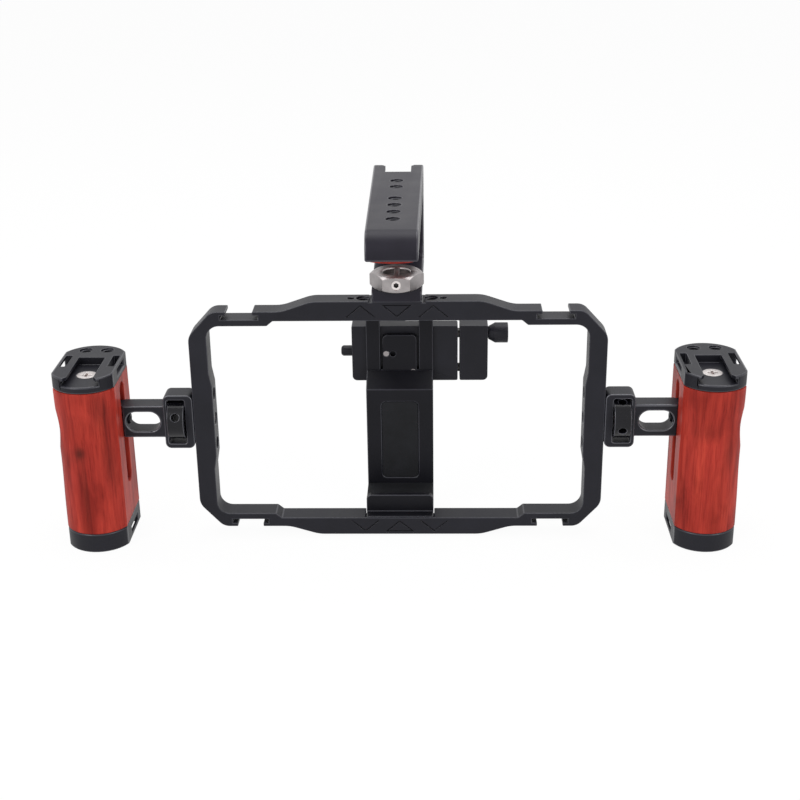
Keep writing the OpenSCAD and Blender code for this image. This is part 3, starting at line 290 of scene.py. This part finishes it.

# %% [markdown]
# ## Lacquered red hardwood
# The grips are a red tropical hardwood under clear satin lacquer. Its long dark pores run along the grip,
# soft streaks of orange and deep red follow them, wide smoky clouds come from how the trunk grew, and
# knots darken the wood round them. All of these are noises that are stretched along the grain. One wide,
# low dark mark across the front of the right grip, at its finger groove, is painted shade. The
# lacquer lies over the wood as a second, smoother gloss, so it is a coat on the shader.

# %% Wood
def hardwood(name, along, figure_and_shade_marks):
    """Wood with its grain along one axis. A mark is a dark place of the figure, or painted shade: point,
    reach across and along, strength.
    """
    material = new_material(name)
    place = add(material, "ShaderNodeTexCoord")
    fibres = add(material, "ShaderNodeMapping", {"Scale": [0.05 if axis == along else 1.0 for axis in "XYZ"]},
                 {"Vector": (place, "Object")})
    clouds = add(material, "ShaderNodeMapping", {"Scale": [0.4 if axis == along else 1.0 for axis in "XYZ"]},
                 {"Vector": (place, "Object")})
    # Pores are about 0.2 mm wide; they are drawn at 0.7 mm so that they show
    pores = add(material, "ShaderNodeTexNoise", {"Scale": per_mm(0.7), "Detail": 5.0, "Roughness": 0.6,
                                                 "Distortion": 0.2}, {"Vector": (fibres, "Vector")})
    streaks = add(material, "ShaderNodeTexNoise", {"Scale": per_mm(3.4), "Detail": 5.0, "Roughness": 0.6,
                                                   "Distortion": 0.7}, {"Vector": (fibres, "Vector")})
    smoke = add(material, "ShaderNodeTexNoise", {"Scale": per_mm(14), "Detail": 3.0, "Roughness": 0.5,
                                                 "Distortion": 0.6}, {"Vector": (clouds, "Vector")})
    ground = add(material, "ShaderNodeValToRGB",
                 {"stops": [(0.28, "#7c201a"), (0.42, "#9b2e25"), (0.58, "#aa372b"), (0.78, "#b74131")]},
                 {"Fac": (streaks, "Fac")})
    shade = add(material, "ShaderNodeValToRGB", {"stops": [(0.32, "#a8857c"), (0.58, "#ffffff")]},
                {"Fac": (smoke, "Fac")})
    smoky = add(material, "ShaderNodeMix", {"data_type": "RGBA", "blend_type": "MULTIPLY", 0: 0.7},
                {6: (ground, "Color"), 7: (shade, "Color")})
    lines = add(material, "ShaderNodeValToRGB", {"stops": [(0.34, "#b08c80"), (0.5, "#ffffff")]},
                {"Fac": (pores, "Fac")})
    figure = add(material, "ShaderNodeMix", {"data_type": "RGBA", "blend_type": "MULTIPLY", 0: 0.4},
                 {6: (smoky, 2), 7: (lines, "Color")})
    for point, across, length, strength in figure_and_shade_marks:
        offset = add(material, "ShaderNodeVectorMath", {"operation": "SUBTRACT", 1: Vector(point) * MM},
                     {0: (place, "Object")})
        shrink = [per_mm(length if axis == along else across) for axis in "XYZ"]
        unit = add(material, "ShaderNodeVectorMath", {"operation": "MULTIPLY", 1: shrink},
                   {0: (offset, "Vector")})
        # The streaks' own noise pulls the mark's outline out of round
        ragged = add(material, "ShaderNodeMix", {"data_type": "VECTOR", 0: 0.3},
                     {4: (unit, "Vector"), 5: (streaks, "Color")})
        reach = add(material, "ShaderNodeVectorMath", {"operation": "LENGTH"}, {0: (ragged, 1)})
        dark = add(material, "ShaderNodeMapRange",
                   {"From Min": 0.1, "From Max": 1.0, "To Min": strength, "To Max": 0.0,
                    "interpolation_type": "SMOOTHSTEP"}, {"Value": (reach, "Value")})
        figure = add(material, "ShaderNodeMix",
                     {"data_type": "RGBA", "blend_type": "MIX", 7: linear("#43150f")},
                     {0: (dark, "Result"), 6: (figure, 2)})
    gloss = add(material, "ShaderNodeMapRange",
                {"From Min": 0.3, "From Max": 0.7, "To Min": 0.55, "To Max": 0.42},
                {"Value": (pores, "Fac")})
    bump = add(material, "ShaderNodeBump", {"Strength": 0.1, "Distance": 0.04 * MM},
               {"Height": (pores, "Fac")})
    shader = add(material, "ShaderNodeBsdfPrincipled",
                 {"IOR": 1.5, "Specular IOR Level": 0.06, "Coat Weight": 0.1, "Coat Roughness": 0.2},
                 {"Base Color": (figure, 2), "Roughness": (gloss, "Result"), "Normal": (bump, "Normal")})
    add(material, "ShaderNodeOutputMaterial", {}, {"Surface": (shader, "BSDF")})
    return material


wood = {"left": hardwood("lacquered_red_hardwood_left", "Z", [((-157.3, -19.1, 56.0), 2.8, 3.2, 0.8),
                                                             ((-157.3, -19.1, 55.5), 6.5, 6.0, 0.35),
                                                             ((-156.3, -19.0, 38.0), 1.8, 20.0, 0.35),
                                                             ((-142.8, -14.3, 50.0), 4.0, 16.0, 0.3),
                                                             ((-145.3, -16.3, 80.5), 5.0, 12.0, 0.35)]),
        "right": hardwood("lacquered_red_hardwood_right", "Z", [((163.0, -14.5, 57.0), 4.0, 10.0, 0.35),
                                                               # The wide, low mark across the front at the
                                                               # finger groove is painted shade
                                                               ((152.0, -19.0, 66.0), 10.0, 5.0, 0.2)]),
        "liner": hardwood("lacquered_red_hardwood_liner", "Y", [])}
print("wood:", [material.name for material in wood.values()])

# %% [markdown]
# ## Broken edges
# No milled piece has a razor edge: the cutter or a file breaks each one by a few tenths of a millimetre,
# and that thin line catches the light. A copy of each solid is merged, its flat triangles are dissolved
# into whole faces, and every sharp edge gets a weight that says how far the bevel rounds it. Rules pick
# out edges that want another radius: a hand-held edge is rounder, an engraved line hardly broken.

# %% Copies with broken edges
def broken_edges(node, finish, radius_at, edge=None, segments=3, crease_deg=30, shape=None):
    """A finished copy of a solid. radius_at is a radius in millimetres, or gives it at an edge's middle."""
    mesh = bmesh.new()
    mesh.from_mesh(frame["nodes"][node].data)
    bmesh.ops.remove_doubles(mesh, verts=mesh.verts, dist=0.002 * MM)
    bmesh.ops.dissolve_limit(mesh, angle_limit=math.radians(0.6), verts=mesh.verts, edges=mesh.edges)
    if shape:
        shape(mesh)
    for face in mesh.faces:
        face.smooth = True
    weight = mesh.edges.layers.float.new("bevel_weight_edge")
    for line in mesh.edges:
        if line.is_manifold and line.calc_face_angle() > math.radians(crease_deg):
            line.smooth = False
            middle = (line.verts[0].co + line.verts[1].co) / 2 / MM
            line[weight] = radius_at(middle) if callable(radius_at) else radius_at
    widest = max(line[weight] for line in mesh.edges)
    for line in mesh.edges:
        line[weight] /= widest
    data = bpy.data.meshes.new(node + "_finished")
    mesh.to_mesh(data)
    mesh.free()
    for material in finish if isinstance(finish, list) else [finish]:
        data.materials.append(material)
    if edge:
        data.materials.append(edge)
    piece = bpy.data.objects.new(node + "_finished", data)
    bpy.context.collection.objects.link(piece)
    bevel = piece.modifiers.new("broken_edge", "BEVEL")
    bevel.width = widest * MM
    bevel.segments = segments
    bevel.limit_method = "WEIGHT"
    bevel.use_clamp_overlap = False
    bevel.harden_normals = True
    bevel.material = len(data.materials) - 1 if edge else -1
    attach(piece, body_of_node[node])
    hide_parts(node)
    return piece


# %% [markdown]
# ## Ring, clamp and arms
# The triangles on the ring were cut by an engraver after anodising and then filled with black ink, so
# their floors are darker than the metal. Where an arm joins its head the faces are only half a
# millimetre apart, so that corner stays as it is. The moving jaw is thin behind its groove, so its edges
# are hardly broken there.

# %% Black pieces
ENGRAVED_X, ENGRAVED_Y = 27, 0.6
TOP_LINES, BOTTOM_LINES = (118.5, 126.5), (1.2, 9.3)
ARM_HALF, HEAD_HALF = 5.2, (box_mm("left_arm")[1].y - box_mm("left_arm")[0].y) / 2
HEAD_END = abs(ring_low.x) + 15.2
GROOVE_Y = 48.5
# How far off a point may lie and still count as on an edge, in millimetres
NEAR, NEARER = 0.05, 0.03


def engraved(p):
    on_lines = any(low < p.z < high for low, high in (TOP_LINES, BOTTOM_LINES))
    return p.y < ENGRAVED_Y and abs(p.x) < ENGRAVED_X and on_lines


def ink_the_lines(mesh):
    for face in mesh.faces:
        middle = face.calc_center_median() / MM
        if middle.y > 0.02 and engraved(middle):
            face.material_index = 1


def ring_radius(p):
    return 0.06 if engraved(p) else 0.4


def arm_radius(p):
    off_middle = abs(p.y - MID_Y)
    if abs(abs(p.x) - HEAD_END) < NEAR and off_middle < ARM_HALF + NEAR:
        return 0.0
    if abs(off_middle - ARM_HALF) < NEARER:
        return 0.8
    return 0.5 if abs(off_middle - HEAD_HALF) < NEARER else 0.3


def jaw_radius(p):
    return 0.08 if p.y > GROOVE_Y - 0.1 else 0.25


pieces = {"cage_frame": broken_edges("cage_frame", [black_anodised, black_ink], ring_radius, black_edge_wear_and_highlight,
                                     shape=ink_the_lines)}
for node in ("left_arm", "right_arm"):
    pieces[node] = broken_edges(node, black_anodised, arm_radius, gloss_edge_wear_and_highlight)
for node, radius in (("clamp_body", 0.5), ("upper_jaw", 0.4), ("clamp_spine", 0.3), ("rail_cover", 0.3)):
    pieces[node] = broken_edges(node, deep_anodised, radius, black_edge_wear_and_highlight)
for node, radius in (("release_block", 0.25), ("moving_jaw", jaw_radius), ("clamp_knob", 0.35),
                     ("stop_pin", 0.3)):
    pieces[node] = broken_edges(node, black_anodised, radius, black_edge_wear_and_highlight)
for node in ("left_thumb_wheel", "right_thumb_wheel"):
    pieces[node] = broken_edges(node, gloss_black, 0.35, gloss_edge_wear_and_highlight)
print("black pieces:", len(pieces))

# %% [markdown]
# ## Caps and handle
# These are the pieces the hands close round. The caps' outlines and the outlines of the handle's two
# sides are rounded far more than the rest. The handle tapers, so an edge belongs to a side where it lies
# on the tapered plane. The edges of one outline share one radius, because a bevel that jumps along a
# smooth line of edges tears. The pocket for the liner keeps its plain edge, as the liner hides it.

# %% Hand-held metal
FLAT_HALF, ROUND_R = (wood_high.x - wood_low.x) / 2, 17.1
ROUND_Y = (wood_high.y - wood_low.y) / 2 - ROUND_R
LINER_LOW, LINER_HIGH = box_mm("handle_wood")
HANDLE_UNDER, NOSE_HALF, HANDLE_SHOE, SHOE_DEEP = 167.7, 11.6, 21, 4.1
TAPER = (handle_high.x - NOSE_HALF) / (handle_high.y - handle_low.y)
# A rounded corner of the nose stands this far proud of its face, so the face is set back as much
NOSE_BACK = 0.07


def cap_radius(p):
    across = abs(p.x) - abs(grip_x["left"])
    along = max(abs(p.y - MID_Y) - ROUND_Y, 0)
    on_outline = abs(across) > FLAT_HALF - NEAR or math.hypot(across, along) > ROUND_R - 0.1
    return 0.8 if on_outline else 0.35


def handle_radius(p):
    in_liner = abs(p.x) < LINER_HIGH.x + 0.1 and LINER_LOW.y - 0.1 < p.y < LINER_HIGH.y + 0.1
    if in_liner and p.z < HANDLE_UNDER + 1.6:
        return 0.0
    on_side = abs(p.x) > NOSE_HALF + TAPER * (p.y - handle_low.y) - NEAR
    on_nose = p.y < handle_low.y + NOSE_BACK + NEAR
    in_shoe = p.y > handle_high.y - HANDLE_SHOE and p.z > handle_high.z - SHOE_DEEP - 0.1
    if on_side or on_nose:
        return 0.8
    return 0.1 if in_shoe else 0.3


def set_back_nose(mesh):
    for vert in mesh.verts:
        if vert.co.y / MM < handle_low.y + 0.01:
            vert.co.y += NOSE_BACK * MM


for side in ("left", "right"):
    for cap in ("_top_cap", "_bottom_cap"):
        pieces[side + cap] = broken_edges(side + cap, black_anodised, cap_radius, black_edge_wear_and_highlight, crease_deg=20)
pieces["top_handle"] = broken_edges("top_handle", grey_anodised, handle_radius, grey_edge_wear_and_highlight, segments=4,
                                    shape=set_back_nose)
print("pieces so far:", len(pieces))


# %% [markdown]
# ## Carved wood
# The grips' fronts are carved: a groove for the fingers crosses the front two thirds up, and the outer
# side below it is slightly hollow. The copies are cut into level slices, and the points of the slices
# are pulled towards the grip's middle. The inner side, where the arm enters, and both ends stay flat.
# The upright seams between flat and round bend in short steps at the scoop, so they are hardly broken.

# %% Wooden grips
GROOVE_Z, GROOVE_WIDTH, GROOVE_DEPTH = 67.0, 8.0, 0.9
HOLLOW_Z, HOLLOW_WIDTH, HOLLOW_DEPTH = 48.0, 18.0, 0.6
SLICE = 2.0
SEAM_FROM, SEAM_TO = 14.0, 18.5


def carved(side):
    outward = -1 if side == "left" else 1

    def shape(mesh):
        levels = int((wood_high.z - wood_low.z) / SLICE)
        for i in range(1, levels):
            bmesh.ops.bisect_plane(mesh, geom=mesh.verts[:] + mesh.edges[:] + mesh.faces[:], dist=0.001 * MM,
                                   plane_co=(0, 0, (wood_low.z + i * SLICE) * MM), plane_no=(0, 0, 1))
        for vertex in mesh.verts:
            p = vertex.co / MM
            across, along = p.x - grip_x[side], p.y - MID_Y
            core = max(-ROUND_Y, min(ROUND_Y, along))
            out = Vector((across, along - core, 0))
            on_round = abs(along) > ROUND_Y and out.length > ROUND_R - 2.0
            on_flat = abs(along) <= ROUND_Y + 0.1 and across * outward > FLAT_HALF - 2.0
            at_end = min(p.z - wood_low.z, wood_high.z - p.z) < 0.5
            if at_end or not (on_round or on_flat):
                continue
            out.normalize()
            groove = GROOVE_DEPTH * math.exp(-((p.z - GROOVE_Z) / GROOVE_WIDTH) ** 2) * max(0, -out.y)
            hollow = HOLLOW_DEPTH * math.exp(-((p.z - HOLLOW_Z) / HOLLOW_WIDTH) ** 2)
            vertex.co -= out * (groove + hollow * max(0, out.x * outward)) * MM

    return shape


def grip_radius(p):
    at_end = min(p.z - wood_low.z, wood_high.z - p.z) < NEAR
    on_seam = SEAM_FROM < abs(p.y - MID_Y) < SEAM_TO and not at_end
    return 0.12 if on_seam else 0.6


for side in ("left", "right"):
    pieces[side + "_wood_grip"] = broken_edges(side + "_wood_grip", wood[side], grip_radius, crease_deg=22,
                                               shape=carved(side))
pieces["handle_wood"] = broken_edges("handle_wood", wood["liner"], 0.9)
print("wooden pieces:", [name for name in pieces if "wood" in name])

# %% [markdown]
# ## Screws, pins and pads
# Fasteners have hardly broken edges. The springs, pins and key screws are blackened, the hand wheel and
# the ends of a few screws are bright. The spring behind the stop pin gets a mesh of its own.

# %% Small pieces
for node in ("cover_screws", "liner_screws", "foot_screws"):
    pieces[node] = broken_edges(node, black_oxide, 0.1)
for node in ("guide_pin", "clamp_screw", "left_slide_nut", "right_slide_nut"):
    pieces[node] = broken_edges(node, black_oxide, 0.15)
for node in ("left_slide_screw", "right_slide_screw"):
    pieces[node] = broken_edges(node, deep_anodised, 0.15)
for node, radius in (("hand_wheel", 0.25), ("hand_wheel_screw", 0.15), ("block_screws", 0.15),
                     ("left_thumb_screw", 0.15), ("right_thumb_screw", 0.15)):
    pieces[node] = broken_edges(node, wheel_steel, radius)
for side in ("left", "right"):
    pieces[side + "_tie_bolt"] = broken_edges(side + "_tie_bolt", bolt_steel[side], 0.15)
for node in ("back_pad", "lower_jaw_pad", "upper_jaw_pad"):
    pieces[node] = broken_edges(node, pad_rubber, 0.3)
pieces["stop_spring"] = broken_edges("stop_spring", black_oxide, 0.08)
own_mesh(pieces["stop_spring"])
print("pieces in all:", len(pieces))


# %% [markdown]
# ## Ribs on the wheels
# A thumb needs something to push, so the thumb wheels and the clamp's knob have fine ribs along their
# rims. One rib is a six-sided rod, half sunk in the rim. Copies of it go round, and the places of the
# bar holes stay free.

# %% Ribs
def new_piece(name, mesh, finish, body):
    """Makes an object of a bmesh, which rides on a body."""
    bmesh.ops.recalc_face_normals(mesh, faces=mesh.faces)
    data = bpy.data.meshes.new(name)
    mesh.to_mesh(data)
    mesh.free()
    data.materials.append(finish)
    piece = bpy.data.objects.new(name, data)
    bpy.context.collection.objects.link(piece)
    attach(piece, body)
    return piece


def ribs(node, count, rib_mm, x_low, x_high, holes=(), hole_deg=0):
    low, high = box_mm(node)
    middle = (low + high) / 2
    rim = (high.z - low.z) / 2
    mesh = bmesh.new()
    for i in range(count):
        angle = 360 * i / count
        if any(abs((angle - hole + 180) % 360 - 180) < hole_deg for hole in holes):
            continue
        rod = bmesh.ops.create_cone(mesh, cap_ends=True, segments=6, radius1=rib_mm * MM,
                                    radius2=rib_mm * MM, depth=(x_high - x_low) * MM)
        lay_down = Matrix.Rotation(math.radians(90), 4, "Y")
        to_rim = Matrix.Translation((0, (rim - rib_mm) * MM, 0))
        round_axis = Matrix.Rotation(math.radians(angle), 4, "X")
        to_wheel = Matrix.Translation(Vector(((x_low + x_high) / 2, middle.y, middle.z)) * MM)
        bmesh.ops.transform(mesh, matrix=to_wheel @ round_axis @ to_rim @ lay_down, verts=rod["verts"])
    # The ribs take the paler edge finish, partly worn oxide and partly a painted highlight
    return new_piece(node + "_ribs", mesh, black_edge_wear_and_highlight, body_of_node[node])


for node, first_hole in (("left_thumb_wheel", 67), ("right_thumb_wheel", 22)):
    low, high = box_mm(node)
    ribs(node, count=60, rib_mm=0.36, x_low=low.x + 1, x_high=high.x - 1,
         holes=[first_hole + 90 * i for i in range(4)], hole_deg=15)
low, high = box_mm("clamp_knob")
ribs("clamp_knob", count=40, rib_mm=0.3, x_low=low.x + 4.5, x_high=high.x - 0.6)
print("ribbed wheels: 3")


# %% [markdown]
# ## Threads
# The quarter-inch holes are tapped, twenty threads to the inch. A small triangle is spun round the hole
# and lifted by 1.27 mm a turn, which leaves the ridge of a real thread on the hole's wall. The thread is
# made upright at the origin and then turned and moved to its hole.

# %% Threads in the holes
PITCH, RIDGE, FIRST_TURN, STEPS = 1.27, 0.42, 0.9, 20


def thread(mesh, mouth, out, depth):
    """A thread in a hole that opens at the point mouth, in millimetres, and faces along out."""
    turns = (depth - 2 * FIRST_TURN) / PITCH
    wall = QUARTER_R - 0.02
    old = len(mesh.verts)
    profile = [mesh.verts.new(Vector((r, 0, z - FIRST_TURN)) * MM)
               for r, z in ((wall, RIDGE), (wall - RIDGE, 0), (wall, -RIDGE))]
    edges = [mesh.edges.new(profile[0:2]), mesh.edges.new(profile[1:3])]
    bmesh.ops.spin(mesh, geom=profile + edges, cent=(0, 0, 0), axis=(0, 0, 1),
                   dvec=(0, 0, -PITCH * MM / STEPS), angle=math.radians(360 * turns),
                   steps=int(STEPS * turns))
    mesh.verts.ensure_lookup_table()
    turn = Vector((0, 0, 1)).rotation_difference(Vector(out)).to_matrix().to_4x4()
    bmesh.ops.transform(mesh, matrix=Matrix.Translation(Vector(mouth) * MM) @ turn, verts=mesh.verts[old:])


UP = (0, 0, 1)
HANDLE_HOLES_Y = (-41, -28.5, -16, -3.5, 19, 31.5)
TOP_HOLE_X, TOP_HOLE_DEEP = wheel_rim + QUARTER_R + 0.1, 10
mesh = bmesh.new()
for y in HANDLE_HOLES_Y:
    thread(mesh, (0, y, handle_high.z), UP, handle_high.z - LINER_HIGH.z)
for x in (-1, 1):
    thread(mesh, (x * TOP_HOLE_X, MID_Y, ring_high.z), UP, TOP_HOLE_DEEP)
# The thread ridges take the paler edge finish, partly worn oxide and partly a painted highlight
new_piece("cage_threads", mesh, black_edge_wear_and_highlight, "cage")
CAP_HOLE_X, CAP_HOLE_IN = 5.5, 7.6
for side in ("left", "right"):
    mesh = bmesh.new()
    for x in (-CAP_HOLE_X, CAP_HOLE_X):
        thread(mesh, (grip_x[side] + x, cap_high.y - CAP_HOLE_IN, cap_high.z), UP, cap_high.z - cap_low.z)
    new_piece(side + "_cap_threads", mesh, black_edge_wear_and_highlight, side + "_grip")
print("tapped holes: 12")

# %% [markdown]
# ## Grub screws in the hand wheel
# A bright grub screw in each of three flats locks the wheel to its stud. Its end is a short cylinder whose
# round face is inset, and the inset, a hexagon, is pushed in as the socket for a key.

# %% Grub screws
GRUB_R, GRUB_LONG, GRUB_SUNK, SOCKET_R, SOCKET_DEEP = 2.3, 3.0, 0.25, 1.35, 1.8
FLAT_R = wheel_rim * math.cos(math.radians(30))
wheel_middle = Vector((0, MID_Y, (wheel_low.z + wheel_high.z) / 2))
mesh = bmesh.new()
for i in range(3):
    away = Matrix.Rotation(math.radians(120 * i), 3, "Z") @ Vector((0, -1, 0))
    rim = bmesh.ops.create_circle(mesh, segments=24, radius=GRUB_R * MM)["verts"]
    socket = []
    for v in rim:
        # The angle from the middle of the hexagon's nearest side
        off_side = (math.atan2(v.co.y, v.co.x) + math.pi / 6) % (math.pi / 3) - math.pi / 6
        reach = SOCKET_R * math.cos(math.pi / 6) / math.cos(off_side)
        socket.append(mesh.verts.new(v.co.normalized() * reach * MM))
    back = [mesh.verts.new(v.co - Vector((0, 0, GRUB_LONG * MM))) for v in rim]
    pit = [mesh.verts.new(v.co - Vector((0, 0, SOCKET_DEEP * MM))) for v in socket]
    for outer, inner in ((back, rim), (rim, socket), (socket, pit)):
        for j in range(len(rim)):
            wall = mesh.faces.new((outer[j - 1], outer[j], inner[j], inner[j - 1]))
            wall.material_index = int(inner is pit)
    mesh.faces.new(pit).material_index = 1
    turn = Vector((0, 0, 1)).rotation_difference(away).to_matrix().to_4x4()
    place = Matrix.Translation((wheel_middle + away * (FLAT_R - GRUB_SUNK)) * MM)
    bmesh.ops.transform(mesh, matrix=place @ turn, verts=rim + socket + back + pit)
grub_screws = new_piece("wheel_grub_screws", mesh, bolt_steel["left"], body_of_node["hand_wheel"])
grub_screws.data.materials.append(black_oxide)
print("grub screws: 3")

# %% [markdown]
# ## Studio
# The picture has a white ground with hardly any shadow. The floor is nearly white, and most of what the
# camera, a mirror or clear glass sees of it is plain white, so that only a faint shadow stays. Soft lamps
# stand above and in front. The world is white where it is looked at and dimmer where it only gives light.

# %% Floor and world
# The share of the floor that is seen as plain white, and the world's light where it isn't looked at
PLAIN_WHITE, WORLD_LIGHT = 0.95, 0.55
mesh = bmesh.new()
bmesh.ops.create_grid(mesh, x_segments=1, y_segments=1, size=3.0)
data = bpy.data.meshes.new("studio_floor")
mesh.to_mesh(data)
mesh.free()
studio_floor = bpy.data.objects.new("studio_floor", data)
bpy.context.collection.objects.link(studio_floor)
floor_paint = new_material("white_studio_floor")
world = bpy.data.worlds.new("studio")
world.use_nodes = True
world.node_tree.nodes.clear()
looked_at = {}
for ground in (floor_paint, world):
    path = add(ground, "ShaderNodeLightPath")
    direct = add(ground, "ShaderNodeMath", {"operation": "MAXIMUM"},
                 {0: (path, "Is Camera Ray"), 1: (path, "Is Glossy Ray")})
    looked_at[ground] = add(ground, "ShaderNodeMath", {"operation": "MAXIMUM"},
                            {0: (direct, "Value"), 1: (path, "Is Transmission Ray")})
paint = add(floor_paint, "ShaderNodeBsdfDiffuse", {"Color": linear("#f4f4f4")})
glow = add(floor_paint, "ShaderNodeEmission", {"Color": (1, 1, 1, 1), "Strength": 1.0})
share = add(floor_paint, "ShaderNodeMath", {"operation": "MULTIPLY", 1: PLAIN_WHITE},
            {0: (looked_at[floor_paint], "Value")})
both = add(floor_paint, "ShaderNodeMixShader", {},
           {"Fac": (share, "Value"), 1: (paint, "BSDF"), 2: (glow, "Emission")})
add(floor_paint, "ShaderNodeOutputMaterial", {}, {"Surface": (both, "Shader")})
data.materials.append(floor_paint)
strength = add(world, "ShaderNodeMapRange", {"To Min": WORLD_LIGHT, "To Max": 1.0},
               {"Value": (looked_at[world], "Value")})
sky = add(world, "ShaderNodeBackground", {"Color": (1, 1, 1, 1)}, {"Strength": (strength, "Result")})
add(world, "ShaderNodeOutputWorld", {}, {"Surface": (sky, "Background")})
bpy.context.scene.world = world
print("ground:", floor_paint.name, "and", world.name)


# %% Lamps
def softbox(name, place, aim, size, watts):
    lamp = bpy.data.lights.new(name, "AREA")
    lamp.shape = "RECTANGLE"
    lamp.size, lamp.size_y = size
    lamp.energy = watts
    holder = bpy.data.objects.new(name, lamp)
    bpy.context.collection.objects.link(holder)
    holder.location = place
    holder.rotation_euler = (Vector(aim) - Vector(place)).to_track_quat("-Z", "Y").to_euler()
    return holder


softbox("top_softbox", (0.0, 0.25, 1.1), (0, 0.0, 0.1), (1.2, 0.8), 9)
softbox("front_left_softbox", (-0.8, -0.9, 0.7), (0, 0, 0.08), (0.6, 0.9), 7)
softbox("front_right_softbox", (0.9, -0.8, 0.6), (0, 0, 0.08), (0.6, 0.9), 5)
bpy.context.scene.view_settings.view_transform = "Standard"
print("lamps: 3")
